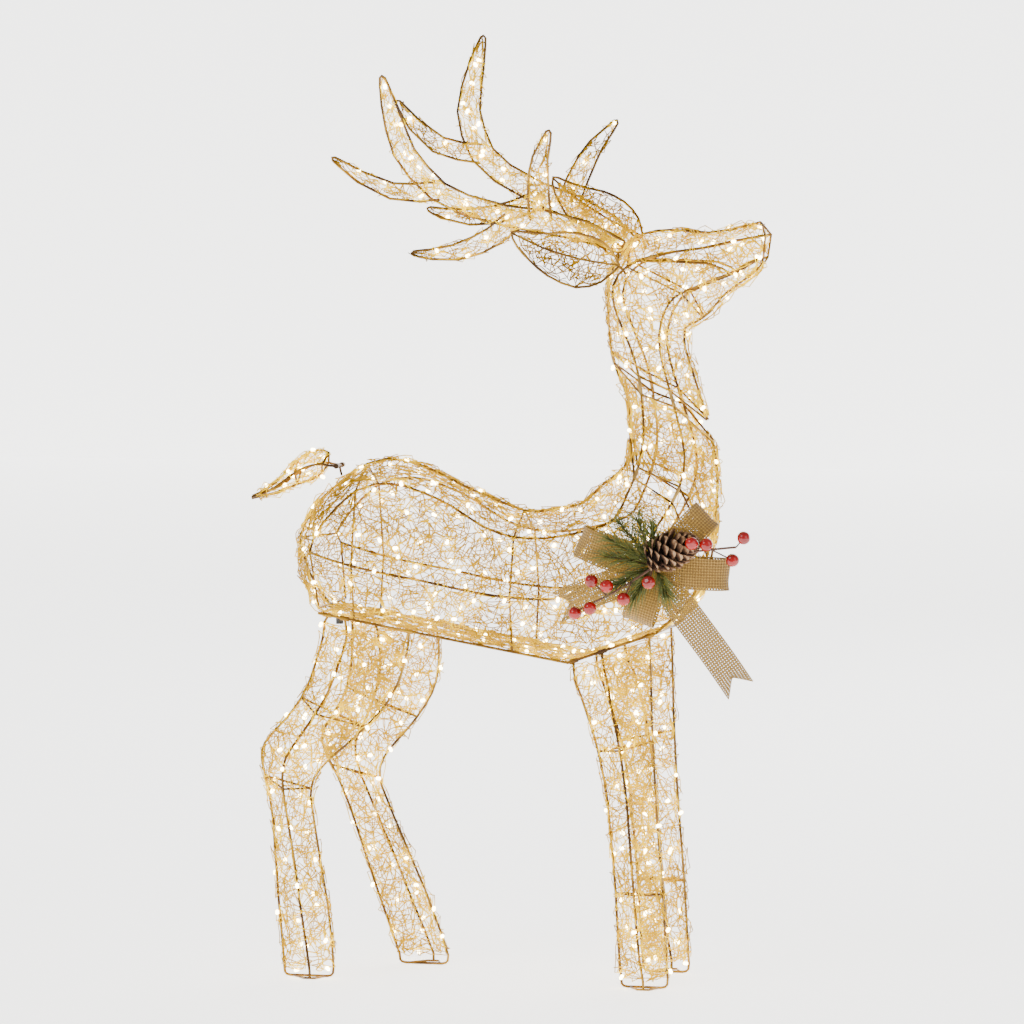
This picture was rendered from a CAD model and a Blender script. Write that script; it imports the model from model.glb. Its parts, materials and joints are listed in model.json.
import json
import math

import bpy
import numpy as np
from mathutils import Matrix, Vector
from mathutils.bvhtree import BVHTree
from mathutils.kdtree import KDTree


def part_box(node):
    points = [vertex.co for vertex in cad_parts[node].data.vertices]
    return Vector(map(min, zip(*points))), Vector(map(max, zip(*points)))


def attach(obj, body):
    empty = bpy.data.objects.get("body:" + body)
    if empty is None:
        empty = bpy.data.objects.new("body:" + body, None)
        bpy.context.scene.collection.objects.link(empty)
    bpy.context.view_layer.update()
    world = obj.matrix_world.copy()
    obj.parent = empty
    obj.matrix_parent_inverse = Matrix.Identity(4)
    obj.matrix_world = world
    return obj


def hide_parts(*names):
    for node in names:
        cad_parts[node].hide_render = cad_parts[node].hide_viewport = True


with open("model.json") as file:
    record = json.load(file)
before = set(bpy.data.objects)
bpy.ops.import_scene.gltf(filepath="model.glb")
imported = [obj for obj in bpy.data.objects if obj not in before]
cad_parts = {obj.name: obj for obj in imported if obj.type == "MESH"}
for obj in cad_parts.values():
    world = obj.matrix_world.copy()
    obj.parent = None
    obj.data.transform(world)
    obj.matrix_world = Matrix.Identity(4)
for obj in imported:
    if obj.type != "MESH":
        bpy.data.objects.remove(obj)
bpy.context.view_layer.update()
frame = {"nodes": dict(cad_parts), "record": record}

MM = 0.001
SEED = 20
NODES = [part["node"] for part in frame["record"]["subparts"]]
BODY_OF = {
    node: body
    for body, nodes in frame["record"]["behaviour"]["bodies"].items()
    for node in nodes
}

# ---------------------------------------------------------------- camera and room

CAMERA_AT = (2.137, -9.256, 1.45)
CAMERA_AIM = (0.0, 0.0, 0.742)
CAMERA_LENS = 211
CAMERA_SENSOR = 36
CAMERA_REACH = 60
LIGHT_AIM = (0, 0, 0.75)
LIGHT_SIZE = 3.0
# Name, place and power of each soft light
LIGHTS = [
    ("key", (-3.0, -4.5, 4.5), 170),
    ("fill", (4.0, -3.0, 2.5), 60),
    ("back", (0.5, 4.5, 3.5), 120),
]
WORLD_STRENGTH = 0.5
FLOOR_GLOW = 2.6
FLOOR_HALF = 14.0
FLOOR_BACK = 12.0
FLOOR_RISE = 9.0
FLOOR_LEAN = 3.0


def make_camera():
    camera = bpy.data.objects.new("camera", bpy.data.cameras.new("camera"))
    bpy.context.scene.collection.objects.link(camera)
    camera.location = CAMERA_AT
    aim = Vector(CAMERA_AIM) - Vector(CAMERA_AT)
    camera.rotation_euler = aim.to_track_quat("-Z", "Y").to_euler()
    camera.data.lens = CAMERA_LENS
    camera.data.sensor_width = CAMERA_SENSOR
    camera.data.clip_end = CAMERA_REACH
    bpy.context.scene.camera = camera


def area_light(name, place, power):
    light = bpy.data.lights.new(name, "AREA")
    light.size = LIGHT_SIZE
    light.energy = power
    lamp = bpy.data.objects.new(name, light)
    bpy.context.scene.collection.objects.link(lamp)
    lamp.location = place
    aim = Vector(LIGHT_AIM) - Vector(place)
    lamp.rotation_euler = aim.to_track_quat("-Z", "Y").to_euler()


def make_room():
    world = bpy.data.worlds.new("soft_world")
    bpy.context.scene.world = world
    world.use_nodes = True
    background = world.node_tree.nodes["Background"]
    background.inputs["Color"].default_value = (1.0, 0.99, 0.97, 1)
    background.inputs["Strength"].default_value = WORLD_STRENGTH
    for name, place, power in LIGHTS:
        area_light(name, place, power)
    mesh = bpy.data.meshes.new("floor")
    mesh.from_pydata(
        [
            (-FLOOR_HALF, -FLOOR_HALF, 0),
            (FLOOR_HALF, -FLOOR_HALF, 0),
            (FLOOR_HALF, FLOOR_BACK, 0),
            (-FLOOR_HALF, FLOOR_BACK, 0),
            (FLOOR_HALF, FLOOR_BACK + FLOOR_LEAN, FLOOR_RISE),
            (-FLOOR_HALF, FLOOR_BACK + FLOOR_LEAN, FLOOR_RISE),
        ],
        [], [(0, 1, 2, 3), (3, 2, 4, 5)],
    )
    floor = bpy.data.objects.new("floor", mesh)
    bpy.context.scene.collection.objects.link(floor)
    material, shader, _ = new_material("floor_paint")
    shader.inputs["Base Color"].default_value = (0.97, 0.97, 0.96, 1)
    shader.inputs["Roughness"].default_value = 0.85
    shader.inputs["Emission Color"].default_value = (1.0, 0.995, 0.98, 1)
    shader.inputs["Emission Strength"].default_value = FLOOR_GLOW
    mesh.materials.append(material)


# ---------------------------------------------------------------- materials

LAMP_STRENGTH = 26.0
METAL_ROUGHNESS = (0.3, 0.5)
WEAVE_PITCH = 4.4 * MM
THREAD_WANDER = 0.0011
HOLE_LEVEL = -0.5


def new_material(name):
    material = bpy.data.materials.new(name)
    material.use_nodes = True
    tree = material.node_tree
    return material, tree.nodes["Principled BSDF"], tree


def link(tree, a, b):
    tree.links.new(a, b)


def ramp(tree, factor, stops):
    node = tree.nodes.new("ShaderNodeValToRGB")
    while len(node.color_ramp.elements) < len(stops):
        node.color_ramp.elements.new(0.5)
    for element, (place, colour) in zip(node.color_ramp.elements, stops):
        element.position = place
        element.color = (*colour, 1)
    link(tree, factor, node.inputs["Fac"])
    return node.outputs["Color"]


def noise(tree, scale, detail=3.0, coords="Object"):
    place = tree.nodes.new("ShaderNodeTexCoord")
    node = tree.nodes.new("ShaderNodeTexNoise")
    node.inputs["Scale"].default_value = scale
    node.inputs["Detail"].default_value = detail
    link(tree, place.outputs[coords], node.inputs["Vector"])
    return node.outputs["Fac"]


def map_range(tree, value, low, high, to_low, to_high):
    node = tree.nodes.new("ShaderNodeMapRange")
    node.inputs["From Min"].default_value = low
    node.inputs["From Max"].default_value = high
    node.inputs["To Min"].default_value = to_low
    node.inputs["To Max"].default_value = to_high
    link(tree, value, node.inputs["Value"])
    return node.outputs["Result"]


def math_node(tree, kind, a, b):
    node = tree.nodes.new("ShaderNodeMath")
    node.operation = kind
    for socket, value in zip(node.inputs, (a, b)):
        if isinstance(value, (int, float)):
            socket.default_value = value
        else:
            link(tree, value, socket)
    return node.outputs["Value"]


def bump(tree, shader, height, strength, distance):
    node = tree.nodes.new("ShaderNodeBump")
    node.inputs["Strength"].default_value = strength
    node.inputs["Distance"].default_value = distance
    link(tree, height, node.inputs["Height"])
    link(tree, node.outputs["Normal"], shader.inputs["Normal"])


def glow_of(tree):
    """How close the surface is to a lamp, stored on the mesh from 0 to 1."""
    node = tree.nodes.new("ShaderNodeAttribute")
    node.attribute_name = "lamp_glow"
    return node.outputs["Fac"]


def wound_wire_material():
    material, shader, tree = new_material("wound_gold_wire")
    glow = glow_of(tree)
    tone = math_node(tree, "MULTIPLY", noise(tree, 90.0, 4.0), 0.6)
    tone = math_node(tree, "ADD", tone, math_node(tree, "MULTIPLY", glow, 0.62))
    colour = ramp(tree, tone, [
        (0.22, (0.060, 0.026, 0.001)),
        (0.45, (0.24, 0.120, 0.001)),
        (0.74, (0.58, 0.345, 0.001)),
        (1.0, (0.86, 0.60, 0.002)),
    ])
    link(tree, colour, shader.inputs["Base Color"])
    shader.inputs["Metallic"].default_value = 0.95
    link(tree, map_range(tree, noise(tree, 240.0), 0.3, 0.7, 0.24, 0.42), shader.inputs["Roughness"])
    light = ramp(tree, glow, [
        (0.0, (0.70, 0.32, 0.0)), (0.5, (1.0, 0.54, 0.0)), (1.0, (1.0, 0.66, 0.0)),
    ])
    link(tree, light, shader.inputs["Emission Color"])
    link(tree, map_range(tree, glow, 0.2, 0.95, 0.10, 0.85), shader.inputs["Emission Strength"])
    return material


def frame_rod_material():
    material, shader, tree = new_material("bronze_frame_rod")
    colour = ramp(tree, noise(tree, 22.0, 5.0), [
        (0.34, (0.045, 0.020, 0.004)), (0.50, (0.16, 0.075, 0.006)), (0.66, (0.42, 0.23, 0.010)),
    ])
    link(tree, colour, shader.inputs["Base Color"])
    shader.inputs["Metallic"].default_value = 0.7
    link(tree, map_range(tree, noise(tree, 120.0), 0.3, 0.7, 0.28, 0.46), shader.inputs["Roughness"])
    bump(tree, shader, noise(tree, 400.0), 0.12, 0.0004)
    return material


def lamp_material():
    material, shader, tree = new_material("lit_lamp_lens")
    facing = tree.nodes.new("ShaderNodeLayerWeight")
    facing.inputs["Blend"].default_value = 0.35
    colour = ramp(tree, facing.outputs["Facing"], [
        (0.1, (1.0, 0.88, 0.52)), (0.9, (1.0, 0.60, 0.08)),
    ])
    shader.inputs["Base Color"].default_value = (1.0, 0.93, 0.75, 1)
    shader.inputs["Roughness"].default_value = 0.12
    link(tree, colour, shader.inputs["Emission Color"])
    shader.inputs["Emission Strength"].default_value = LAMP_STRENGTH
    return material


def plain_metal(name, dark, light, metallic=0.8):
    material, shader, tree = new_material(name)
    colour = ramp(tree, noise(tree, 60.0), [(0.3, dark), (0.7, light)])
    link(tree, colour, shader.inputs["Base Color"])
    shader.inputs["Metallic"].default_value = metallic
    roughness = map_range(tree, noise(tree, 150.0), 0.3, 0.7, *METAL_ROUGHNESS)
    link(tree, roughness, shader.inputs["Roughness"])
    return material


def burlap_material():
    """Loose plain weave from the ribbon's own flat coordinates, in metres."""
    material, shader, tree = new_material("burlap_weave")
    uv = tree.nodes.new("ShaderNodeUVMap")
    uv.uv_map = "flat"
    parts = tree.nodes.new("ShaderNodeSeparateXYZ")
    wobble = tree.nodes.new("ShaderNodeTexNoise")
    wobble.inputs["Scale"].default_value = 260.0
    link(tree, uv.outputs["UV"], wobble.inputs["Vector"])
    shift = tree.nodes.new("ShaderNodeVectorMath")
    shift.operation = "MULTIPLY_ADD"
    link(tree, wobble.outputs["Color"], shift.inputs[0])
    shift.inputs[1].default_value = (THREAD_WANDER, THREAD_WANDER, 0)
    link(tree, uv.outputs["UV"], shift.inputs[2])
    link(tree, shift.outputs["Vector"], parts.inputs["Vector"])
    turn = 2 * math.pi / WEAVE_PITCH
    wave_u = math_node(tree, "SINE", math_node(tree, "MULTIPLY", parts.outputs["X"], turn), 0)
    wave_v = math_node(tree, "SINE", math_node(tree, "MULTIPLY", parts.outputs["Y"], turn), 0)
    height = math_node(tree, "MAXIMUM", wave_u, wave_v)
    over = math_node(tree, "MULTIPLY", wave_u, wave_v)
    relief = math_node(tree, "ADD", height, math_node(tree, "MULTIPLY", over, 0.35))
    from_relief = math_node(tree, "MULTIPLY", relief, 0.3)
    from_fibre = math_node(tree, "MULTIPLY", noise(tree, 500.0, coords="UV"), 0.6)
    colour = ramp(tree, math_node(tree, "ADD", from_relief, from_fibre), [
        (0.0, (0.045, 0.020, 0.003)),
        (0.35, (0.15, 0.078, 0.013)),
        (0.6, (0.34, 0.19, 0.035)),
        (0.9, (0.52, 0.31, 0.07)),
    ])
    link(tree, colour, shader.inputs["Base Color"])
    shader.inputs["Roughness"].default_value = 0.92
    shader.inputs["Sheen Weight"].default_value = 0.25
    glow = glow_of(tree)
    shader.inputs["Emission Color"].default_value = (1.0, 0.58, 0.05, 1)
    link(tree, map_range(tree, glow, 0.0, 1.0, 0.0, 0.45), shader.inputs["Emission Strength"])
    bump(tree, shader, relief, 0.7, 0.0007)
    hole = math_node(tree, "GREATER_THAN", height, HOLE_LEVEL)
    link(tree, hole, shader.inputs["Alpha"])
    return material


def two_tone(name, low, high, scale, roughness, relief=None):
    material, shader, tree = new_material(name)
    pattern = noise(tree, scale, 5.0)
    link(tree, ramp(tree, pattern, [(0.3, low), (0.7, high)]), shader.inputs["Base Color"])
    link(tree, map_range(tree, noise(tree, scale * 2), 0.3, 0.7, *roughness), shader.inputs["Roughness"])
    if relief:
        bump(tree, shader, pattern, *relief)
    return material


def cone_material():
    material, shader, tree = new_material("pine_cone_scale")
    edge = tree.nodes.new("ShaderNodeAttribute")
    edge.attribute_name = "tip"
    mottle = map_range(tree, noise(tree, 160.0, 5.0), 0.3, 0.7, -0.16, 0.16)
    tone = math_node(tree, "ADD", edge.outputs["Fac"], mottle)
    colour = ramp(tree, tone, [
        (0.35, (0.018, 0.007, 0.003)), (0.80, (0.075, 0.030, 0.011)), (0.94, (0.20, 0.10, 0.042)),
        (1.0, (0.34, 0.20, 0.10)),
    ])
    link(tree, colour, shader.inputs["Base Color"])
    shader.inputs["Roughness"].default_value = 0.78
    bump(tree, shader, noise(tree, 420.0, 6.0), 0.5, 0.0006)
    return material


def berry_material():
    material, shader, tree = new_material("berry_gloss_red")
    colour = ramp(tree, noise(tree, 45.0), [
        (0.3, (0.16, 0.0, 0.0)), (0.72, (0.40, 0.001, 0.002)),
    ])
    link(tree, colour, shader.inputs["Base Color"])
    roughness = map_range(tree, noise(tree, 200.0), 0.3, 0.7, 0.10, 0.2)
    link(tree, roughness, shader.inputs["Roughness"])
    shader.inputs["Coat Weight"].default_value = 0.2
    shader.inputs["Coat Roughness"].default_value = 0.06
    bump(tree, shader, noise(tree, 300.0), 0.06, 0.0005)
    return material


# ---------------------------------------------------------------- mesh helpers


def piece(name, vertices, faces, material, body):
    mesh = bpy.data.meshes.new(name)
    mesh.from_pydata(np.asarray(vertices).tolist(), [], faces)
    mesh.validate()
    mesh.polygons.foreach_set("use_smooth", [True] * len(mesh.polygons))
    mesh.materials.append(material)
    made = bpy.data.objects.new(name, mesh)
    bpy.context.scene.collection.objects.link(made)
    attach(made, body)
    return made


def unit(v):
    v = np.asarray(v, float)
    return v / np.maximum(np.linalg.norm(v, axis=-1, keepdims=True), 1e-12)


def tube_mesh(lines, sides):
    """Closed tubes. Each line is its points, with a radius and a reference normal for each."""
    all_vertices = []
    all_faces = []
    base = 0
    turns = np.arange(sides) * 2 * math.pi / sides
    for points, radii, normals in lines:
        n = len(points)
        ahead = np.vstack([points[1:], points[-1:]])
        behind = np.vstack([points[:1], points[:-1]])
        t = unit(ahead - behind)
        m = normals - (normals * t).sum(1, keepdims=True) * t
        weak = np.linalg.norm(m, axis=1) < 0.05
        m[weak] = np.cross(t[weak], [0.31, 0.83, 0.46])
        m = unit(m)
        b = np.cross(t, m)
        ring = (np.cos(turns)[None, :, None] * m[:, None, :]
                + np.sin(turns)[None, :, None] * b[:, None, :])
        v = points[:, None, :] + np.asarray(radii)[:, None, None] * ring
        all_vertices.append(v.reshape(-1, 3))
        i = np.arange(n - 1)[:, None] * sides
        k = np.arange(sides)[None, :]
        a = base + i + k
        c = base + i + (k + 1) % sides
        quads = np.stack([a, c, c + sides, a + sides], axis=-1).reshape(-1, 4)
        all_faces.extend(quads.tolist())
        all_faces.append([base + s for s in range(sides)][::-1])
        all_faces.append([base + (n - 1) * sides + s for s in range(sides)])
        base += n * sides
    return np.vstack(all_vertices), all_faces


def smooth_line(points, steps):
    """A Catmull-Rom curve through hand-chosen points."""
    p = np.asarray(points, float)
    p = np.vstack([2 * p[0] - p[1], p, 2 * p[-1] - p[-2]])
    out = []
    for i in range(1, len(p) - 2):
        for s in np.linspace(0, 1, steps, endpoint=False):
            out.append(0.5 * (
                2 * p[i] + (p[i + 1] - p[i - 1]) * s
                + (2 * p[i - 1] - 5 * p[i] + 4 * p[i + 1] - p[i + 2]) * s**2
                + (3 * p[i] - p[i - 1] - 3 * p[i + 1] + p[i + 2]) * s**3
            ))
    out.append(p[-2])
    return np.array(out)


def node_arrays(node):
    """A CAD node's vertices and triangles, in metres."""
    mesh = frame["nodes"][node].data
    vertices = np.empty(len(mesh.vertices) * 3)
    mesh.vertices.foreach_get("co", vertices)
    mesh.calc_loop_triangles()
    triangles = np.empty(len(mesh.loop_triangles) * 3, int)
    mesh.loop_triangles.foreach_get("vertices", triangles)
    return vertices.reshape(-1, 3), triangles.reshape(-1, 3)


# ---------------------------------------------------------------- lamps

LAMP_GAP = 8 * MM
LAMP_EDGE = 1.9 * MM
LAMP_SPACING = 44 * MM
LAMP_LIFT = 1.5 * MM
LAMP_TRIES = 900
LAMP_SIDES = 12
LAMP_SINK = 0.6 * MM
LEAD_RADIUS = 0.7 * MM
LEAD_SLACK = 0.03


def lamp_centres(node):
    """The middles of the small balls on a CAD light string, in no fixed order."""
    vertices, triangles = node_arrays(node)
    corners = vertices[triangles]
    sides = np.linalg.norm(corners - np.roll(corners, 1, axis=1), axis=2).max(axis=1)
    small = vertices[np.unique(triangles[sides < LAMP_EDGE])]
    centres = []
    left = np.ones(len(small), bool)
    while left.any():
        seed = small[left][0]
        for _ in range(3):
            near = np.linalg.norm(small - seed, axis=1) < LAMP_GAP * 0.55
            seed = (small[near].min(0) + small[near].max(0)) / 2
        left &= np.linalg.norm(small - seed, axis=1) > LAMP_GAP * 0.5
        if near.sum() > 20:
            centres.append(seed)
    return np.array(centres)


def lamps_in_wire(node, rng):
    """Evenly scattered places for the lamps that are wound in with a section's wire."""
    mesh = node.replace("light_string", "mesh")
    vertices, triangles = node_arrays(mesh)
    plate = "antler" in node
    triangles, normals, area = outer_triangles(vertices, triangles, not plate, rng)
    picks = rng.choice(len(triangles), LAMP_TRIES, p=area / area.sum())
    mix = rng.dirichlet((1, 1, 1), LAMP_TRIES)
    points = (vertices[triangles[picks]] * mix[:, :, None]).sum(axis=1)
    points = points + normals[picks] * LAMP_LIFT
    kept = []
    for point in points:
        if all(np.linalg.norm(point - other) > LAMP_SPACING for other in kept):
            kept.append(point)
    return np.array(kept)


def in_string_order(centres):
    """Nearest-neighbour order from the highest lamp."""
    left = list(range(len(centres)))
    order = [left.pop(int(np.argmax(centres[:, 2])))]
    while left:
        here = centres[order[-1]]
        nearest = min(left, key=lambda i: np.linalg.norm(centres[i] - here))
        left.remove(nearest)
        order.append(nearest)
    return centres[order]


def lamp_profile():
    """Radius and height of a domed lamp with a collar, in millimetres."""
    angles = np.linspace(0, math.pi / 2, 7)
    dome = [(2.9 * math.cos(a), 2.2 + 2.9 * math.sin(a)) for a in angles]
    neck = [(0.01, -3.6), (1.3, -3.6), (1.5, -3.2), (1.5, -2.2)]
    collar = [(2.9, -2.0), (3.0, -1.4), (2.6, -1.1)]
    return neck + collar + dome


def lamp_body(centre, up, base):
    """Vertices and faces of one lamp. Its first vertex has the number base."""
    turns = np.arange(LAMP_SIDES) * 2 * math.pi / LAMP_SIDES
    m = unit(np.cross(up, [0.3, 0.2, 0.9]))
    b = np.cross(up, m)
    profile = np.array(lamp_profile()) * MM
    vertices = []
    for r, h in profile:
        for turn in turns:
            out = math.cos(turn) * m + math.sin(turn) * b
            vertices.append(centre + r * out + (h - LAMP_SINK) * up)
    faces = []
    for i in range(len(profile) - 1):
        for k in range(LAMP_SIDES):
            a = base + i * LAMP_SIDES + k
            c = base + i * LAMP_SIDES + (k + 1) % LAMP_SIDES
            faces.append([a, c, c + LAMP_SIDES, a + LAMP_SIDES])
    top = base + (len(profile) - 1) * LAMP_SIDES
    faces.append([base + k for k in range(LAMP_SIDES)][::-1])
    faces.append([top + k for k in range(LAMP_SIDES)])
    return vertices, faces


def lead_lines(centres, rng):
    """A slightly slack wire from each lamp of a string to the next."""
    lines = []
    for a, c in zip(centres[:-1], centres[1:]):
        slack = rng.normal(size=3) * LEAD_SLACK * np.linalg.norm(c - a)
        line = smooth_line([a, (a + c) / 2 + slack, c], 5)
        sides = np.tile([0.2, 0.9, 0.3], (len(line), 1))
        lines.append((line, np.full(len(line), LEAD_RADIUS), sides))
    return lines


def make_lamps(node, rng):
    centres = in_string_order(lamp_centres(node))
    vertices = []
    faces = []
    for centre in np.vstack([centres, LAMPS_ON_WIRE[node]]):
        new_vertices, new_faces = lamp_body(centre, unit(rng.normal(size=3)), len(vertices))
        vertices += new_vertices
        faces += new_faces
    lamps = piece(node + "_lamps", vertices, faces, MATERIALS["lens"], BODY_OF[node])
    v, f = tube_mesh(lead_lines(centres, rng), 6)
    lead = piece(node + "_lead", v, f, MATERIALS["lead"], BODY_OF[node])
    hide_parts(node)
    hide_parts(node)
    set_glow(lead)


# ---------------------------------------------------------------- glow near lamps

GLOW_LAMPS = 5
GLOW_NEAR = 13 * MM
GLOW_FAR = 42 * MM
GLOW_FAR_SHARE = 0.30


def glow_at(points):
    """From 0 to 1: how much lamp light reaches each point, by distance to the nearest lamps."""
    total = np.zeros(len(points))
    for i, p in enumerate(points):
        for _, _, d in LAMP_TREE.find_n(p, GLOW_LAMPS):
            total[i] += math.exp(-((d / GLOW_NEAR) ** 2))
            total[i] += GLOW_FAR_SHARE * math.exp(-d / GLOW_FAR)
    return np.clip(total, 0, 1)


def set_glow(made, scale=1.0, sides=1):
    """Stores the glow on a piece. Each run of sides vertices shares one sample."""
    n = len(made.data.vertices)
    points = np.empty(n * 3)
    made.data.vertices.foreach_get("co", points)
    points = points.reshape(-1, 3)
    if sides > 1:
        glow = np.repeat(glow_at(points[::sides]), sides)[:n]
    else:
        glow = glow_at(points)
    layer = made.data.attributes.new("lamp_glow", "FLOAT", "POINT")
    layer.data.foreach_set("value", glow * scale)


# ---------------------------------------------------------------- wound wire

WIRE_RADIUS = 0.82 * MM
WIRE_SIDES = 4
WIRE_DENSITY = 0.30
POINT_SPACING = 5.5 * MM
THIN_TRIANGLE = 2.2 * MM
CROWDING = 9 * MM
LONGEST_RUN = 60
LOOSE_SHARE = 0.18
SUB_STEPS = 3
WALL_PROBES = 6
PROBE_SPREAD = 0.45
PROBE_REACH = 0.45
PROBE_START = 0.2 * MM


def outer_triangles(vertices, triangles, hollow, rng):
    """Triangles on a skin's outside. A plate has no inside, so all of its triangles count."""
    corners = vertices[triangles]
    cross = np.cross(corners[:, 1] - corners[:, 0], corners[:, 2] - corners[:, 0])
    area = np.linalg.norm(cross, axis=1) / 2
    keep = area > 1e-9
    triangles = triangles[keep]
    corners = corners[keep]
    area = area[keep]
    normals = unit(cross[keep])
    if not hollow:
        return triangles, normals, area
    tree = BVHTree.FromPolygons(vertices.tolist(), triangles.tolist())
    middles = corners.mean(axis=1)
    outside = []
    for middle, normal in zip(middles, normals):
        hits = 0
        for _ in range(WALL_PROBES):
            way = unit(normal * 1.2 + rng.normal(size=3) * PROBE_SPREAD)
            start = Vector(middle + normal * PROBE_START)
            hit = tree.ray_cast(start, Vector(way), PROBE_REACH)
            hits += hit[0] is not None
        outside.append(hits <= WALL_PROBES - 3)
    outside = np.array(outside)
    return triangles[outside], normals[outside], area[outside]


def scatter(vertices, triangles, normals, weight, rng):
    """Random points on the triangles, by weight, and the way that each one faces."""
    count = max(int(weight.sum() / POINT_SPACING**2), 60)
    picks = rng.choice(len(triangles), count, p=weight / weight.sum())
    u = rng.random(count)
    v = rng.random(count)
    flip = u + v > 1
    u[flip] = 1 - u[flip]
    v[flip] = 1 - v[flip]
    corners = vertices[triangles[picks]]
    side_u = corners[:, 1] - corners[:, 0]
    side_v = corners[:, 2] - corners[:, 0]
    points = corners[:, 0] + u[:, None] * side_u + v[:, None] * side_v
    return points, normals[picks]


def wander(points, facing, wanted, reach, rng):
    """Walks of point numbers that favour the places passed least, up to the wanted length."""
    near, far = np.array(reach) * MM
    count = len(points)
    tree = KDTree(count)
    for i, p in enumerate(points):
        tree.insert(p, i)
    tree.balance()
    used = np.zeros(count)
    made_length = 0.0
    lines = []
    here = int(rng.integers(count))
    line = [here]
    while made_length < wanted:
        found = [i for _, i, d in tree.find_range(points[here], far) if d > near]
        if found:
            ids = np.array(found)
            alike = facing[ids] @ facing[here]
            scores = used[ids] + rng.random(len(ids)) * 1.1 - 0.35 * alike
            best = int(ids[int(np.argmin(scores))])
        if not found or len(line) > LONGEST_RUN:
            if len(line) > 2:
                lines.append(line)
            here = int(np.argmin(used + rng.random(count)))
            line = [here]
            used[here] += 1
            continue
        made_length += np.linalg.norm(points[best] - points[here])
        for _, i, _ in tree.find_range(points[best], CROWDING):
            used[i] += 1
        here = best
        line.append(here)
    if len(line) > 2:
        lines.append(line)
    return lines


def kinked_wire(line, points, facing, surface, lift, rng):
    """One wire along a walk: its points, held at small random heights over the skin."""
    path = []
    across = []
    heights = rng.uniform(lift[0], lift[1], len(line)) * MM
    loose = rng.random(len(line)) < LOOSE_SHARE
    heights[loose] += rng.uniform(2.0, 7.0, loose.sum()) * MM
    for k in range(len(line) - 1):
        a = points[line[k]]
        b = points[line[k + 1]]
        bow = rng.normal(size=3) * 0.05 * np.linalg.norm(b - a)
        for s in np.arange(SUB_STEPS) / SUB_STEPS:
            raw = a + (b - a) * s + bow * math.sin(math.pi * s)
            place, normal, _, _ = surface.find_nearest(Vector(raw))
            height = heights[k] * (1 - s) + heights[k + 1] * s
            path.append(np.array(place) + np.array(normal) * height)
            across.append(np.array(normal))
    path.append(points[line[-1]] + facing[line[-1]] * heights[-1])
    across.append(facing[line[-1]])
    return np.array(path), np.full(len(path), WIRE_RADIUS), np.array(across)


def wind_wire(node, rng, hollow=True, reach=(9, 34), lift=(0.0, 2.6), edge_boost=1.0):
    """Winds kinked thin wires over a CAD skin or plate."""
    vertices, triangles = node_arrays(node)
    triangles, normals, area = outer_triangles(vertices, triangles, hollow, rng)
    extent = np.linalg.norm(np.ptp(vertices[triangles], axis=1), axis=1)
    thin = 2 * area / extent < THIN_TRIANGLE
    weight = area * np.where(thin, edge_boost, 1.0)
    points, facing = scatter(vertices, triangles, normals, weight, rng)
    surface = BVHTree.FromPolygons(vertices.tolist(), triangles.tolist())
    lines = wander(points, facing, WIRE_DENSITY * weight.sum() / MM, reach, rng)
    wires = [kinked_wire(line, points, facing, surface, lift, rng) for line in lines]
    v, f = tube_mesh(wires, WIRE_SIDES)
    name = node.replace("mesh", "wound_wire")
    made = piece(name, v, f, MATERIALS["wire"], BODY_OF[node])
    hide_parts(node)
    set_glow(made, sides=WIRE_SIDES)


# ---------------------------------------------------------------- bow

BOW = np.array([0.256, -0.122, 0.664])
RIBBON_WIDTH = 0.050
RIBBON_THICK = 1.1 * MM
RIBBON_COLUMNS = 14
NOTCH_LENGTH = 0.03
NOTCH_DEPTH = 0.026
# Direction in degrees and reach in metres of each loop
LOOPS = [(159, 0.126), (253, 0.084), (-2, 0.118), (47, 0.122)]
# A loop's side view: share of its reach, and millimetres towards the viewer's side
LOOP_SHAPE = [
    (0.05, 6), (0.3, 20), (0.6, 27), (0.86, 23), (1.0, 8),
    (0.97, -5), (0.75, -11), (0.4, -9), (0.05, -5),
]
# Side, route in millimetres from the bow's middle, and the way across the ribbon
TAILS = [
    ("left", [(-8, -2, -4), (-50, -12, -18), (-105, -8, -38), (-157, -4, -62)], (0.3, 0, -0.95)),
    ("right", [(8, -3, -8), (42, -12, -52), (88, -10, -112), (140, -4, -186)], (0.8, 0, 0.6)),
]


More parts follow.
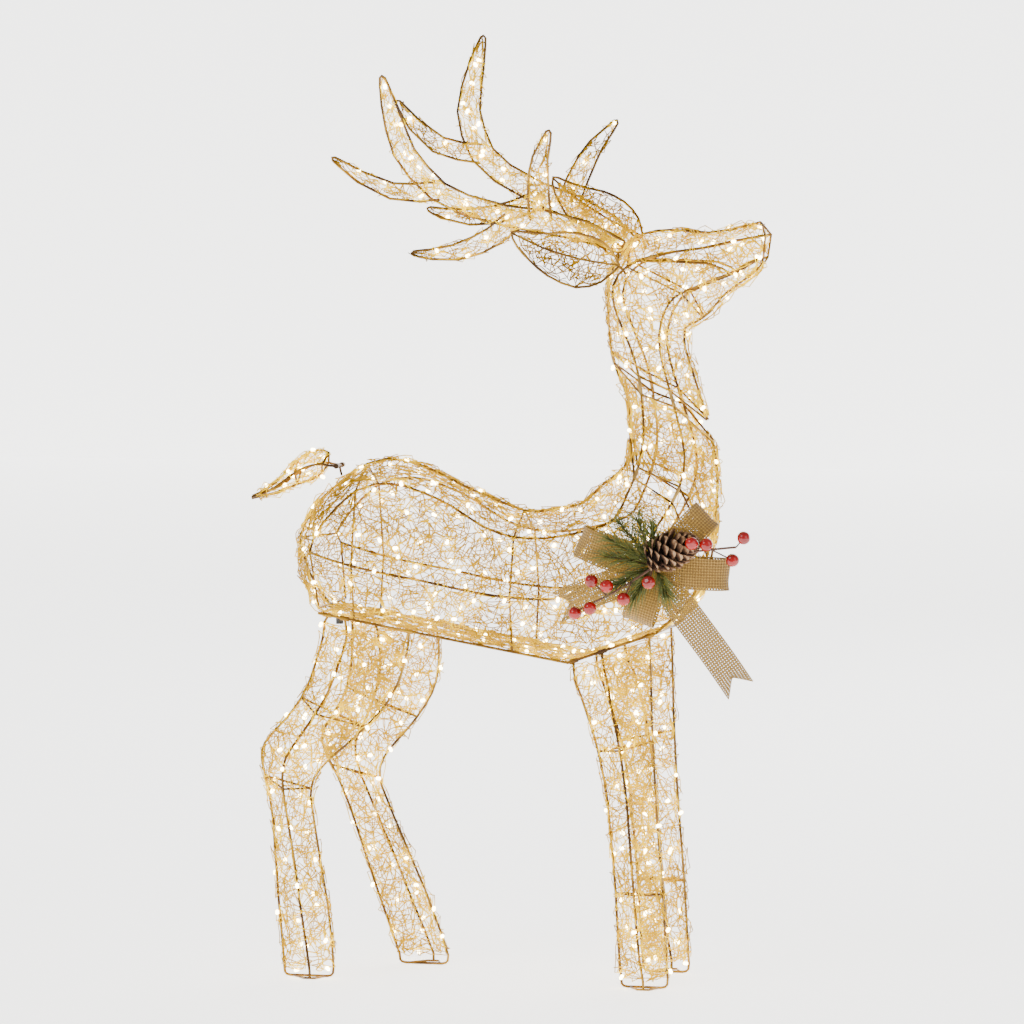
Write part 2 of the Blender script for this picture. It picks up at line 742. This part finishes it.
def ribbon_sheet(name, line, wide, gather, notch, node, rng):
    """A woven ribbon along a line, gathered where gather is 1 and full where it is 0."""
    wide = unit(wide)
    ahead = np.vstack([line[1:], line[-1:]])
    behind = np.vstack([line[:1], line[:-1]])
    t = unit(ahead - behind)
    out = unit(np.cross(t, wide))
    along = np.concatenate([[0], np.cumsum(np.linalg.norm(np.diff(line, axis=0), axis=1))])
    vertices = []
    uvs = []
    phase = rng.uniform(0, 6)
    for i, p in enumerate(line):
        g = gather[i]
        to_end = max(0.0, 1 - (along[-1] - along[i]) / NOTCH_LENGTH)
        for k in range(RIBBON_COLUMNS + 1):
            s = k / RIBBON_COLUMNS - 0.5
            crimp = math.sin(s * 15 + phase) * 3.2 * MM * g
            ripple = math.sin(s * 6 + along[i] * 55 + phase) * 0.9 * MM
            curl = (2 * s) ** 4 * 1.3 * MM
            cut = notch * to_end * (1 - abs(2 * s)) * NOTCH_DEPTH
            sideways = wide * s * RIBBON_WIDTH * (1 - 0.62 * g)
            vertices.append(p + sideways + out[i] * (crimp + ripple + curl) - t[i] * cut)
            uvs.append((along[i], (s + 0.5) * RIBBON_WIDTH))
    faces = []
    for i in range(len(line) - 1):
        for k in range(RIBBON_COLUMNS):
            a = i * (RIBBON_COLUMNS + 1) + k
            faces.append([a, a + 1, a + RIBBON_COLUMNS + 2, a + RIBBON_COLUMNS + 1])
    made = piece(name, vertices, faces, MATERIALS["burlap"], "root")
    layer = made.data.uv_layers.new(name="flat")
    for corner in made.data.loops:
        layer.data[corner.index].uv = uvs[corner.vertex_index]
    set_glow(made, scale=0.75)
    solid = made.modifiers.new("thickness", "SOLIDIFY")
    solid.thickness = RIBBON_THICK
    solid.offset = 0
    round_off = made.modifiers.new("round", "SUBSURF")
    round_off.levels = round_off.render_levels = 1
    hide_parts(node)


def make_bow(rng):
    for number, (angle, size) in enumerate(LOOPS):
        a = math.radians(angle)
        outward = np.array([math.cos(a), 0, math.sin(a)])
        wide = np.array([-math.sin(a), 0, math.cos(a)])
        towards = np.array([0, -MM, 0])
        line = smooth_line([BOW + s * size * outward + y * towards for s, y in LOOP_SHAPE], 7)
        reach = (line - BOW) @ outward / size
        gather = np.clip(1 - reach / 0.45, 0, 1) ** 1.3
        ribbon_sheet(f"bow_loop_{number + 1}", line, wide, gather, 0, "bow_loops", rng)
    for side, points, wide in TAILS:
        line = smooth_line([BOW + np.array(p) * MM for p in points], 14)
        gather = np.clip(1 - np.linspace(0, 1, len(line)) / 0.3, 0, 1)
        ribbon_sheet(f"bow_tail_{side}", line, wide, gather, 1, "bow_tails", rng)
    low, high = (np.array(c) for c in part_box("bow_knot"))
    middle = (low + high) / 2
    half = (high - low) / 2
    turns = np.linspace(0, 2 * math.pi, 41)[:-1]
    ring = []
    for turn in turns:
        out = np.array([0, math.sin(turn) * half[1] * 1.02, math.cos(turn) * half[2] * 0.72])
        ring.append(middle + out)
    line = np.array(ring + ring[:2])
    gather = np.full(len(line), 0.42)
    ribbon_sheet("bow_knot_wrap", line, (1, 0, 0), gather, 0, "bow_knot", rng)


# ---------------------------------------------------------------- cone, sprigs and berries

CONE_SCALES = 96
CONE_LENGTH = 84 * MM
CONE_TURN = math.radians(72)
CONE_YAW = math.radians(8)
SCALE_ROWS = 7
SCALE_COLUMNS = 7
GOLDEN = math.radians(137.508)


def cone_scale(width, length, thick):
    """One woody scale, narrow at its root, as points of out, side, up and share of its length."""
    top = []
    low = []
    for i in range(SCALE_ROWS):
        s = i / (SCALE_ROWS - 1)
        half = width * (0.22 + 0.78 * math.sin(min(1.0, s * 1.15) * math.pi / 2))
        half *= 1 - 0.55 * max(0, s - 0.8) / 0.2
        for k in range(SCALE_COLUMNS):
            c = 2 * k / (SCALE_COLUMNS - 1) - 1
            rise = length * (0.30 * s**2) - 0.18 * width * c * c
            swell = thick * (0.35 + 0.65 * s) * (1 - 0.7 * c * c)
            keel = 0.5 * thick * max(0, 1 - abs(c) * 3) * max(0, 1 - abs(s - 0.88) * 8)
            top.append((length * s, half * c, rise + swell / 2 + keel, s))
            low.append((length * s, half * c, rise - swell / 2, s))
    n = len(top)
    faces = []
    for i in range(SCALE_ROWS - 1):
        for k in range(SCALE_COLUMNS - 1):
            a = i * SCALE_COLUMNS + k
            c = a + SCALE_COLUMNS
            faces.append([a, c, c + 1, a + 1])
            faces.append([n + a, n + a + 1, n + c + 1, n + c])
    root = list(range(SCALE_COLUMNS))
    right = [i * SCALE_COLUMNS + SCALE_COLUMNS - 1 for i in range(1, SCALE_ROWS)]
    lip = [n - 1 - k for k in range(1, SCALE_COLUMNS)]
    left = [i * SCALE_COLUMNS for i in range(SCALE_ROWS - 2, 0, -1)]
    rim = root + right + lip + left
    for a, b in zip(rim, rim[1:] + rim[:1]):
        faces.append([a, b, n + b, n + a])
    return np.array(top + low), faces


def make_cone(rng):
    low, high = (np.array(c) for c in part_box("pine_cone"))
    middle = (low + high) / 2
    axis = unit([math.sin(CONE_TURN), -math.sin(CONE_YAW) * 0.3, math.cos(CONE_TURN)])
    m = unit(np.cross(axis, [0, 1, 0]))
    b = np.cross(axis, m)
    vertices = []
    tips = []
    faces = []
    for i in range(CONE_SCALES):
        s = (i + 0.5) / CONE_SCALES
        turn = i * GOLDEN
        body = math.sin(math.pi * min(1, 0.16 + 0.86 * s)) ** 0.75
        reach = (11 + 17 * body) * MM
        width = (5.0 + 4.5 * body) * MM
        shape, scale_faces = cone_scale(width, reach, (1.6 + 1.6 * body) * MM)
        tilt = math.radians(-12 + 72 * s + rng.normal() * 4)
        out = math.cos(turn) * m + math.sin(turn) * b
        side = -math.sin(turn) * m + math.cos(turn) * b
        way = math.cos(tilt) * out + math.sin(tilt) * axis
        over = np.cross(way, side)
        root = middle + axis * CONE_LENGTH * (s - 0.5) * 0.92 + out * 5.5 * MM * body
        base = len(vertices)
        for x, y, z, tip in shape:
            vertices.append(root + way * x + side * y + over * z)
            tips.append(tip)
        faces += [[base + k for k in f] for f in scale_faces]
    core = smooth_line([middle + axis * CONE_LENGTH * k for k in (-0.47, -0.2, 0.1, 0.44)], 6)
    radii = np.interp(np.linspace(0, 1, len(core)), [0, 0.3, 0.75, 1], [7, 12, 9, 3]) * MM
    v, f = tube_mesh([(core, radii, np.tile(m, (len(core), 1)))], 12)
    base = len(vertices)
    vertices = np.vstack([vertices, v])
    tips += [0.1] * len(v)
    faces += [[base + k for k in q] for q in f]
    made = piece("pine_cone_scales", vertices, faces, MATERIALS["cone"], "root")
    layer = made.data.attributes.new("tip", "FLOAT", "POINT")
    layer.data.foreach_set("value", tips)
    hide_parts("pine_cone")


# Direction in degrees, length in millimetres and lean in degrees of each sprig
SPRIGS = [
    (108, 118, 8), (128, 128, 2), (146, 120, 10), (166, 112, 6),
    (204, 92, 10), (236, 78, 12), (92, 96, 12), (-62, 64, 10),
]
NEEDLES = 92


def make_sprigs(rng):
    stems = []
    needles = []
    start = BOW + np.array([6, -28, 8]) * MM
    for angle, length, lean in SPRIGS:
        a = math.radians(angle)
        out = unit([math.cos(a), -math.sin(math.radians(lean)), math.sin(a)])
        droop = np.array([0, 0, -1])
        tip = length * 0.72 * MM
        line = smooth_line([start, start + out * tip * 0.5, start + out * tip + droop * 4 * MM], 8)
        sides = np.tile([0, 1, 0.1], (len(line), 1))
        stems.append((line, np.linspace(1.5, 0.7, len(line)) * MM, sides))
        m = unit(np.cross(out, [0, 1, 0]))
        b = np.cross(out, m)
        for k in range(NEEDLES):
            s = 0.12 + 0.88 * k / NEEDLES
            root = line[int(s * (len(line) - 1))]
            turn = k * GOLDEN + rng.normal() * 0.3
            spread = rng.uniform(0.28, 0.72)
            around = math.cos(turn) * m + math.sin(turn) * b
            way = unit(out * (1 - 0.35 * spread) + around * spread + np.array([0, -0.12, 0]))
            reach = rng.uniform(24, 42) * MM
            bend = np.array([0, 0, -1]) * reach * rng.uniform(0.02, 0.12)
            middle = root + way * reach * 0.5 - bend * 0.2
            needle = np.array([root, middle, root + way * reach + bend])
            radii = np.array([0.55, 0.62, 0.14]) * MM
            needles.append((needle, radii, np.tile([0.1, 1, 0.2], (3, 1))))
    v, f = tube_mesh(needles, 4)
    green = piece("pine_needles", v, f, MATERIALS["needle"], "root")
    v, f = tube_mesh(stems, 6)
    brown = piece("pine_sprig_stems", v, f, MATERIALS["twig"], "root")
    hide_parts("pine_sprigs")
    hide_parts("pine_sprigs")


BERRY_RADIUS = 10.5 * MM
BERRY_ROWS = 14
BERRY_COLUMNS = 20
# Middle of each berry, in millimetres
BERRIES = [
    (167, -176, 650), (193, -184, 643), (140, -172, 599), (166, -182, 608), (221, -190, 624),
    (261, -192, 651), (327, -182, 712), (349, -176, 710), (389, -170, 686), (407, -172, 721),
]


def make_berries(rng):
    vertices = []
    faces = []
    for centre in np.array(BERRIES) * MM:
        way = unit(np.array([0.2, -0.7, 0.3]) + rng.normal(size=3) * 0.35)
        m = unit(np.cross(way, [0, 0, 1]))
        b = np.cross(way, m)
        base = len(vertices)
        for i in range(BERRY_ROWS + 1):
            polar = math.pi * i / BERRY_ROWS
            top_dent = 0.10 * math.exp(-((polar / 0.28) ** 2))
            low_dent = 0.05 * math.exp(-(((math.pi - polar) / 0.3) ** 2))
            for k in range(BERRY_COLUMNS):
                turn = 2 * math.pi * k / BERRY_COLUMNS
                lobes = 1 + 0.012 * math.sin(3 * turn + centre[0] * 400) * math.sin(polar)
                r = BERRY_RADIUS * (1 - top_dent - low_dent) * lobes
                around = math.cos(turn) * m + math.sin(turn) * b
                out = math.cos(polar) * way * 0.98 + math.sin(polar) * around
                vertices.append(centre + r * out)
        for i in range(BERRY_ROWS):
            for k in range(BERRY_COLUMNS):
                a = base + i * BERRY_COLUMNS + k
                c = base + i * BERRY_COLUMNS + (k + 1) % BERRY_COLUMNS
                faces.append([a, c, c + BERRY_COLUMNS, a + BERRY_COLUMNS])
    made = piece("berries_glossy", vertices, faces, MATERIALS["berry"], "root")
    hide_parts("berries")


# ---------------------------------------------------------------- build

make_camera()
make_room()
MATERIALS = {
    "wire": wound_wire_material(),
    "rod": frame_rod_material(),
    "tie": plain_metal("tie_wire_bronze", (0.20, 0.11, 0.03), (0.55, 0.36, 0.10)),
    "lens": lamp_material(),
    "lead": plain_metal("lead_wire_gold", (0.45, 0.29, 0.06), (0.85, 0.60, 0.20), metallic=0.4),
    "socket": two_tone(
        "socket_black_plastic", (0.012, 0.012, 0.013), (0.03, 0.03, 0.032),
        180.0, (0.45, 0.62), (0.2, 0.0003),
    ),
    "burlap": burlap_material(),
    "cone": cone_material(),
    "needle": two_tone("needle_olive", (0.030, 0.050, 0.008), (0.16, 0.17, 0.030), 70.0, (0.42, 0.6)),
    "twig": two_tone(
        "twig_bark", (0.045, 0.018, 0.010), (0.15, 0.065, 0.035),
        160.0, (0.6, 0.85), (0.5, 0.0006),
    ),
    "berry": berry_material(),
}
STRINGS = [node for node in NODES if "light_string" in node]
LAMPS_ON_WIRE = {
    node: lamps_in_wire(node, np.random.default_rng(SEED + 50 + number))
    for number, node in enumerate(STRINGS)
}
ALL_LAMPS = np.vstack([lamp_centres(node) for node in STRINGS] + list(LAMPS_ON_WIRE.values()))
LAMP_TREE = KDTree(len(ALL_LAMPS))
for index, place in enumerate(ALL_LAMPS):
    LAMP_TREE.insert(place, index)
LAMP_TREE.balance()

for number, node in enumerate(STRINGS):
    make_lamps(node, np.random.default_rng(SEED + number))

PLATES = {"lift": (1.7, 3.2), "edge_boost": 7.0, "hollow": False, "reach": (8, 30)}
for number, node in enumerate(n for n in NODES if "mesh" in n):
    rng = np.random.default_rng(SEED + 100 + number)
    plate = "antler" in node or "ear" in node
    wind_wire(node, rng, **(PLATES if plate else {}))

make_bow(np.random.default_rng(SEED + 200))
make_cone(np.random.default_rng(SEED + 201))
make_sprigs(np.random.default_rng(SEED + 202))
make_berries(np.random.default_rng(SEED + 203))

SLOT_MATERIAL = {"frame_rod": "rod", "tie_wire": "tie", "black_plastic": "socket", "twig": "twig"}
SLOT_OF = {part["node"]: part["material_slot"] for part in frame["record"]["subparts"]}
for node in NODES:
    if SLOT_OF[node] in SLOT_MATERIAL:
        data = frame["nodes"][node].data
        chosen = MATERIALS[SLOT_MATERIAL[SLOT_OF[node]]]
        if data.materials:
            for index in range(len(data.materials)):
                data.materials[index] = chosen
        else:
            data.materials.append(chosen)
